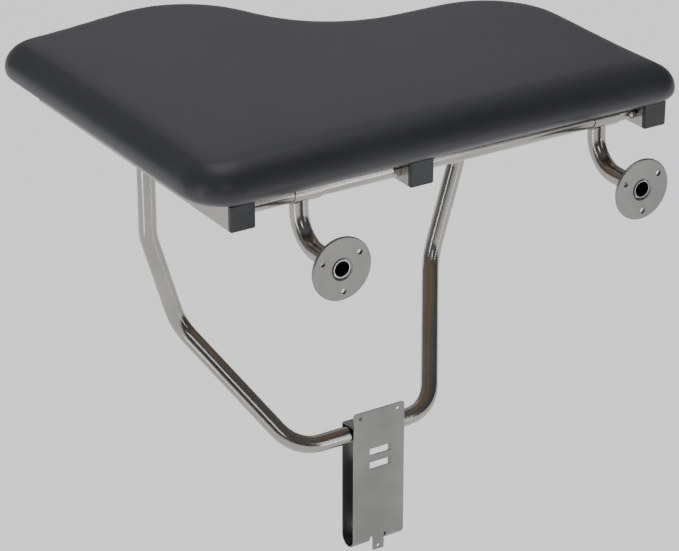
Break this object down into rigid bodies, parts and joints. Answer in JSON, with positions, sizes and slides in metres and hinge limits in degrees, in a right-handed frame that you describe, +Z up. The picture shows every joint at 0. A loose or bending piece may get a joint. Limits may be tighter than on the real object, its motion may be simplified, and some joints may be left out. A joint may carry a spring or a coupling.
{
  "type": "wall-mounted folding shower seat",
  "caption": "Padded L-shaped shower seat on square steel rails, hinged on wall arms so that it folds up, with a bent-tube leg loop running in a wall guide.",
  "frame": {"origin": "on the wall plane, midway between the centres of the two wall flanges", "axes": "+Z up, the wall is the plane Y = 0 and the seat reaches out along -Y, +X to the side with the deep part of the seat (the left side as seen from the wall)"},
  "size_m": [0.6611, 0.5937, 0.6408],
  "materials": {
    "tube_steel": "satin",
    "sheet_steel": "satin",
    "fastener_steel": "polished",
    "cap_plastic": "matte",
    "bush_nylon": "matte",
    "seat_board": "matte",
    "cushion_vinyl": "semi-matte vinyl"
  },
  "bodies": {
    "wall_mount": {"wall_flange_left": "sheet_steel", "wall_flange_right": "sheet_steel", "arm_left": "tube_steel", "arm_right": "tube_steel", "hinge_sleeve_left": "tube_steel", "hinge_sleeve_right": "tube_steel"},
    "seat": {"rail_left": "tube_steel", "rail_middle": "tube_steel", "rail_right": "tube_steel", "cap_left_wall_end": "cap_plastic", "cap_left_room_end": "cap_plastic", "cap_middle_wall_end": "cap_plastic", "cap_middle_room_end": "cap_plastic", "cap_right_wall_end": "cap_plastic", "cap_right_room_end": "cap_plastic", "crossbar_left": "tube_steel", "crossbar_right": "tube_steel", "crossbar_set_screw": "fastener_steel", "seat_board": "seat_board", "seat_cushion": "cushion_vinyl", "rail_screw_left_1": "fastener_steel", "rail_screw_left_2": "fastener_steel", "rail_screw_left_3": "fastener_steel", "rail_screw_middle_1": "fastener_steel", "rail_screw_middle_2": "fastener_steel", "rail_screw_right_1": "fastener_steel", "rail_screw_right_2": "fastener_steel", "leg_bracket_left": "sheet_steel", "leg_bracket_right": "sheet_steel", "leg_pin_left": "fastener_steel", "leg_pin_right": "fastener_steel", "bracket_screw_left_1": "fastener_steel", "bracket_screw_left_2": "fastener_steel", "bracket_screw_right_1": "fastener_steel", "bracket_screw_right_2": "fastener_steel"},
    "leg": {"leg_loop": "tube_steel", "leg_bush_left_outboard": "bush_nylon", "leg_bush_left_inboard": "bush_nylon", "leg_bush_right_outboard": "bush_nylon", "leg_bush_right_inboard": "bush_nylon"},
    "guide": {"leg_guide": "sheet_steel"}
  },
  "joints": [
    {"name": "seat_fold", "type": "hinge", "parent": "wall_mount", "child": "seat", "pos_m": [0, -0.092, 0.06], "axis": [-1, 0, 0], "range_deg": [0, 85]},
    {"name": "leg_swing", "type": "hinge", "parent": "seat", "child": "leg", "pos_m": [0, -0.35, 0.056], "axis": [-1, 0, 0], "range_deg": [-74.8, 0]},
    {"name": "guide_slide", "type": "slide", "parent": "leg", "child": "guide", "axis": [0, 0, 1], "range_m": [0, 0.08]}
  ],
  "couplings": [
    {"joint": "leg_swing", "follows": "seat_fold", "ratio": -0.88}
  ]
}
